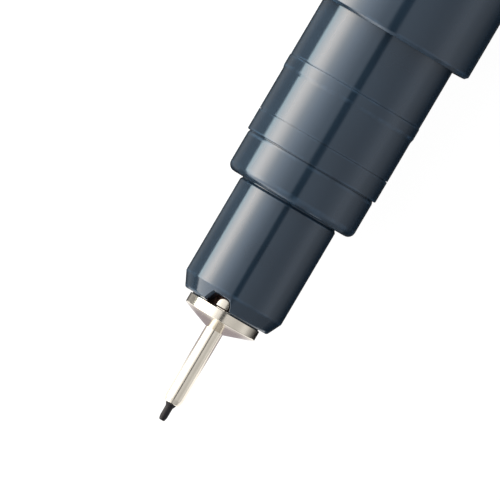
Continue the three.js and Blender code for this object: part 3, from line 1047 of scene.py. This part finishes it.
def make_tent(name, low, high, sampled):
    """A stretch of light tent round the pen, between two angles, which the camera doesn't see."""
    strip = 3  # degrees
    steps = max(2, round((high - low) / strip))
    vertices = []
    for step in range(steps + 1):
        turn = math.radians(low + (high - low) * step / steps)
        for x in TENT_ENDS:
            vertices.append((x, TENT_RADIUS * math.sin(turn), TENT_RADIUS * math.cos(turn)))
    faces = [(first, first + 2, first + 3, first + 1) for first in range(0, 2 * steps, 2)]
    material = polar_light(name, TENT_LIGHT)
    material.cycles.emission_sampling = "AUTO" if sampled else "NONE"
    tent = new_object(name, vertices, faces)
    tent.location.z = AXIS_HEIGHT
    tent.data.materials.append(material)
    tent.visible_camera = False


def make_card(name, corners, material):
    """A flat card which shows only in reflections."""
    card = new_object(name, corners, [tuple(range(len(corners)))])
    material.cycles.emission_sampling = "NONE"
    card.data.materials.append(material)
    card.visible_camera = False
    card.visible_diffuse = False
    card.visible_shadow = False
    return card


def make_end_card(name, x):
    """A card that closes one end of the tent."""
    half = TENT_RADIUS
    corners = [(x, -half, -half), (x, half, -half), (x, half, half), (x, -half, half)]
    card = make_card(name, corners, polar_light(name, END_LIGHT))
    card.location.z = AXIS_HEIGHT


def make_needle_card():
    """A white card close under the needle, dimmer towards the disc."""
    height = AXIS_HEIGHT - (SLEEVE_RADIUS + 0.2) * MM
    front = NIB_TIP - 4 * MM
    middle = NIB_TIP + 3 * MM
    rear = NIB_TIP + (DISC_FRONT + 0.6) * MM
    wide = 9 * MM
    narrow = 4.4 * MM
    corners = [
        (front, -wide, height),
        (middle, -wide, height),
        (rear, -narrow, height),
        (rear, narrow, height),
        (middle, wide, height),
        (front, wide, height),
    ]
    dim_centre = (rear - 1.3 * MM, 0, height)
    dim_reach = (2.7 * MM, 3.6 * MM, 1)
    material, glow = emission("needle_card", 1.3)
    tree = material.node_tree
    place = add_node(tree, "ShaderNodeTexCoord").outputs["Object"]
    stretched = add_node(tree, "ShaderNodeMapping", Vector=place, Location=dim_centre,
                         Scale=dim_reach)
    stretched.vector_type = "TEXTURE"
    distance = add_node(tree, "ShaderNodeVectorMath")
    distance.operation = "LENGTH"
    feed(distance.inputs[0], stretched.outputs["Vector"])
    ramp = add_node(tree, "ShaderNodeValToRGB", Fac=distance.outputs["Value"])
    dim, lit = ramp.color_ramp.elements
    dim.position = 0.5
    dim.color = (0.31, 0.28, 0.305, 1)
    lit.position = 1.0
    lit.color = (*WHITE, 1)
    set_inputs(glow, Color=ramp.outputs["Color"])
    make_card("needle_card", corners, material)


def make_floor():
    """A plain pale floor, which gives back some light of its own so that shadows stay soft."""
    half = 30.0
    grey = 0.15
    corners = [(-half, -half, 0), (half, -half, 0), (half, half, 0), (-half, half, 0)]
    floor = new_object("floor", corners, [(0, 1, 2, 3)])
    nodes = Nodes("floor")
    nodes.set(Roughness=0.9, Base_Color=(grey, grey, grey, 1))
    nodes.set(Emission_Color=(*WHITE, 1), Emission_Strength=0.94)
    floor.data.materials.append(nodes.material)
    floor.visible_glossy = False


def make_world():
    """A background that the camera sees white, and that gives only a little light."""
    world = bpy.data.worlds.new("studio")
    bpy.context.scene.world = world
    world.use_nodes = True
    tree = world.node_tree
    seen = add_node(tree, "ShaderNodeLightPath").outputs["Is Camera Ray"]
    level = add_node(tree, "ShaderNodeMapRange", Value=seen, To_Min=0.03, To_Max=1.0)
    set_inputs(tree.nodes["Background"], Color=(*WHITE, 1), Strength=level.outputs["Result"])


def make_camera():
    """Straight above the pen, with the nib at the lower left."""
    camera = bpy.data.objects.new("camera", bpy.data.cameras.new("camera"))
    bpy.context.scene.collection.objects.link(camera)
    camera.data.sensor_width = SENSOR
    camera.data.lens = SENSOR * CAMERA_DISTANCE / (FIELD * MM)
    camera.data.clip_start = 0.01
    camera.data.clip_end = 100
    camera.location = (NIB_TIP + AIM_STATION * MM, AIM_SIDE * MM, AXIS_HEIGHT + CAMERA_DISTANCE)
    camera.rotation_euler = (0, 0, CAMERA_TURN)
    bpy.context.scene.camera = camera


finish_inner_nodes()
make_nib()
make_sleeve()
make_disc()
make_nose()
make_ring()
make_grip()
make_barrel()
make_tail()
make_cap()
make_crown()
make_clip()

# Only the upper half of the tent is sampled as a lamp. Its feet are there for reflections.
make_tent("tent", -90, 90, True)
make_tent("tent_left_foot", 90, TENT_LIGHT[-1][0], False)
make_tent("tent_right_foot", TENT_LIGHT[0][0], -90, False)
make_end_card("front_card", TENT_ENDS[0])
make_end_card("rear_card", TENT_ENDS[1])
make_needle_card()
make_floor()
make_world()
make_camera()
bpy.context.scene.view_settings.view_transform = "Standard"
